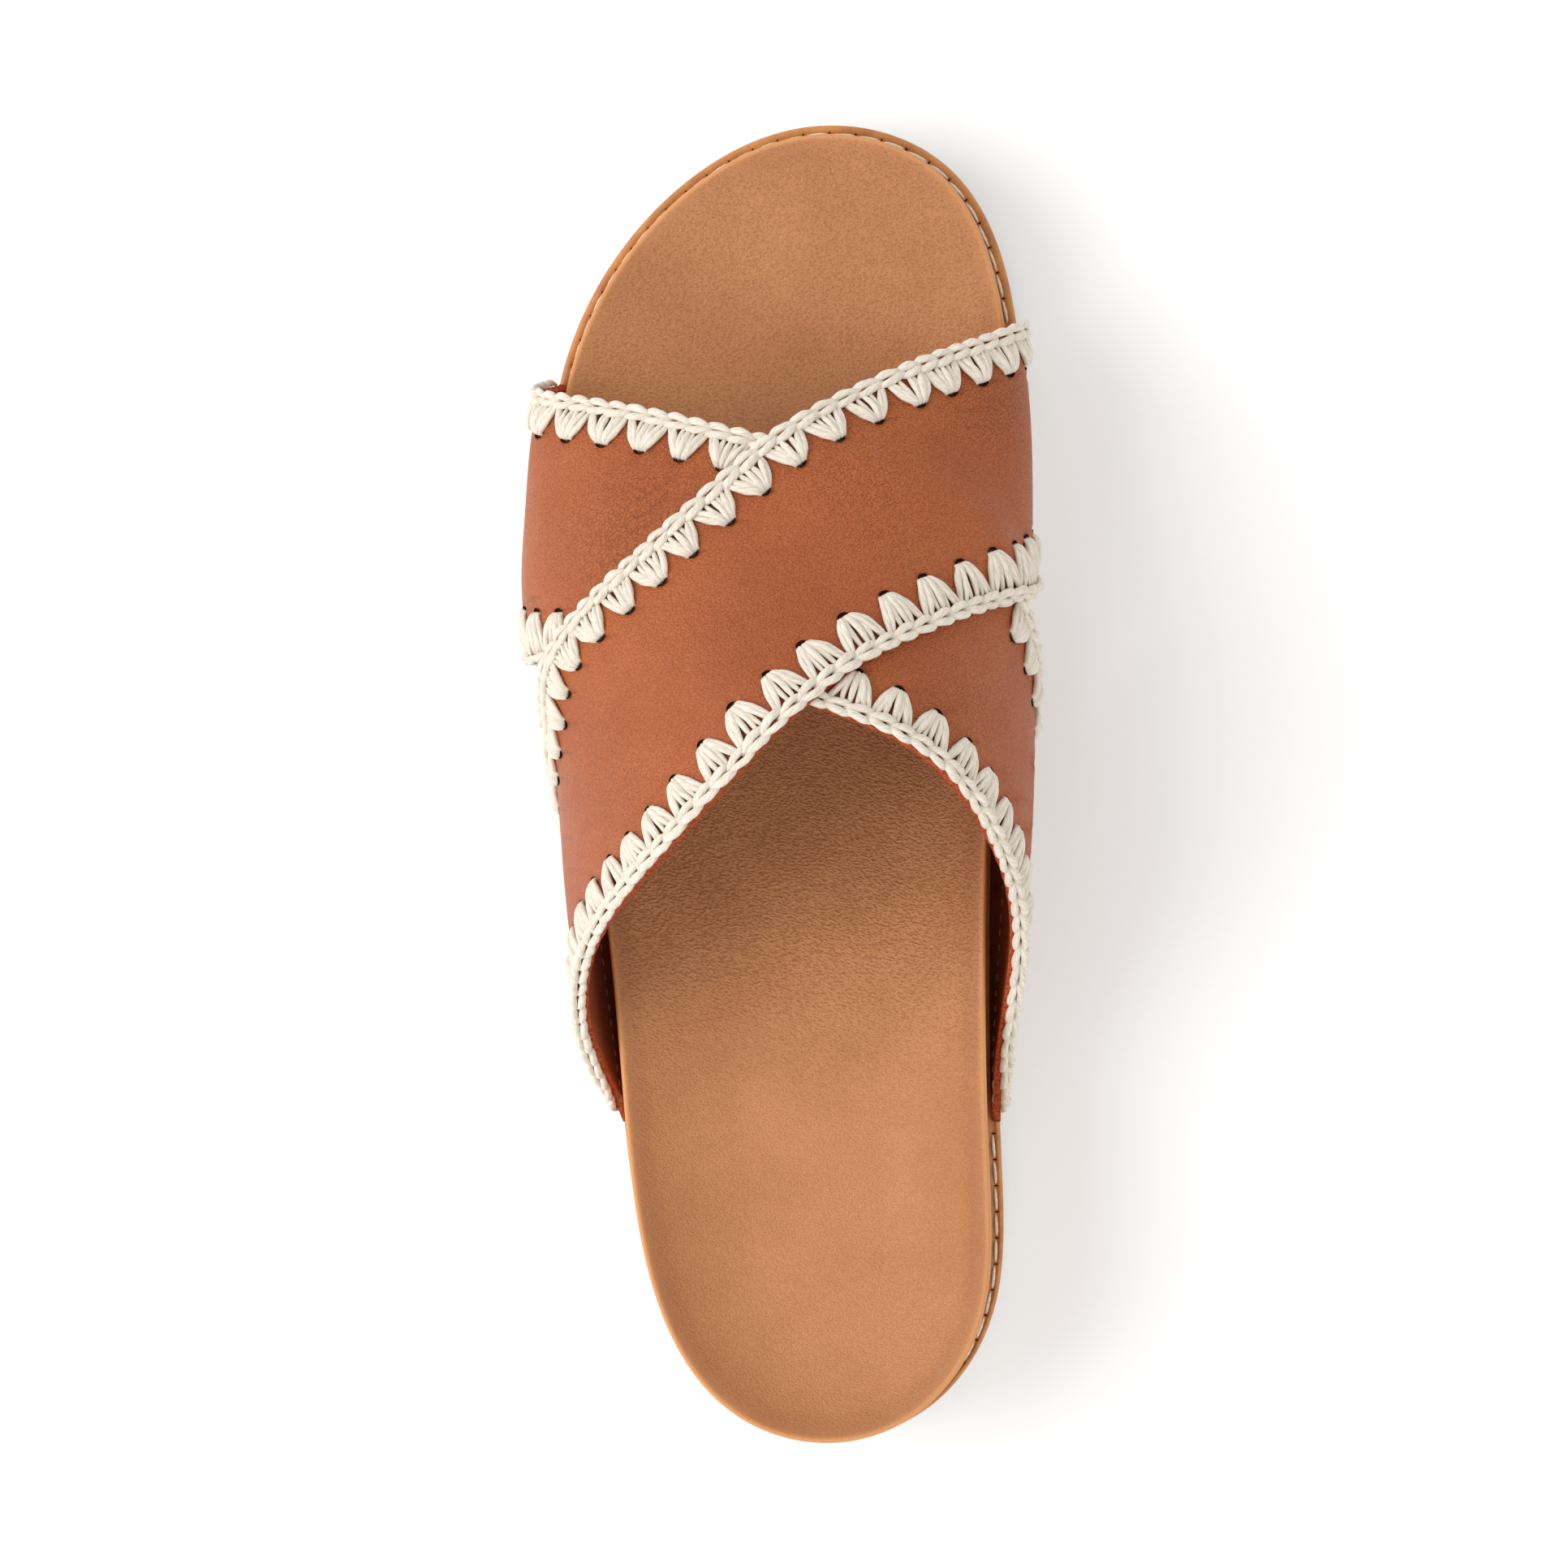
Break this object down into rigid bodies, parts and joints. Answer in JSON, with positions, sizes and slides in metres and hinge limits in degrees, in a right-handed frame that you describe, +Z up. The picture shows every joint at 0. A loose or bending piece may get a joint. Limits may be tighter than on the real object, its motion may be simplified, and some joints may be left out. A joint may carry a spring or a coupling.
{
  "type": "leather slide sandal",
  "caption": "Left slide sandal: crossed leather straps edged with crochet over a cupped leather footbed, a stitched welt and a low rubber sole.",
  "frame": {"origin": "on the floor under the middle of the sandal's box", "axes": "+X to the big-toe side, +Y to the toe, +Z up from the floor"},
  "size_m": [0.1038, 0.2622, 0.0885],
  "materials": {
    "sole_rubber": "pale matt moulded rubber",
    "welt_leather": "smooth tan leather, satin",
    "footbed_leather": "light tan leather with a fine embossed grain",
    "strap_leather": "cognac leather with a fine grain, satin",
    "crochet_yarn": "off-white cotton yarn"
  },
  "bodies": {
    "root": {"outsole": "sole_rubber", "welt": "welt_leather", "footbed": "footbed_leather", "upper": "strap_leather", "crochet_over_front": "crochet_yarn", "crochet_over_rear": "crochet_yarn", "crochet_under_front_lateral": "crochet_yarn", "crochet_under_front_medial": "crochet_yarn", "crochet_under_rear_lateral": "crochet_yarn", "crochet_under_rear_medial": "crochet_yarn"}
  },
  "joints": []
}
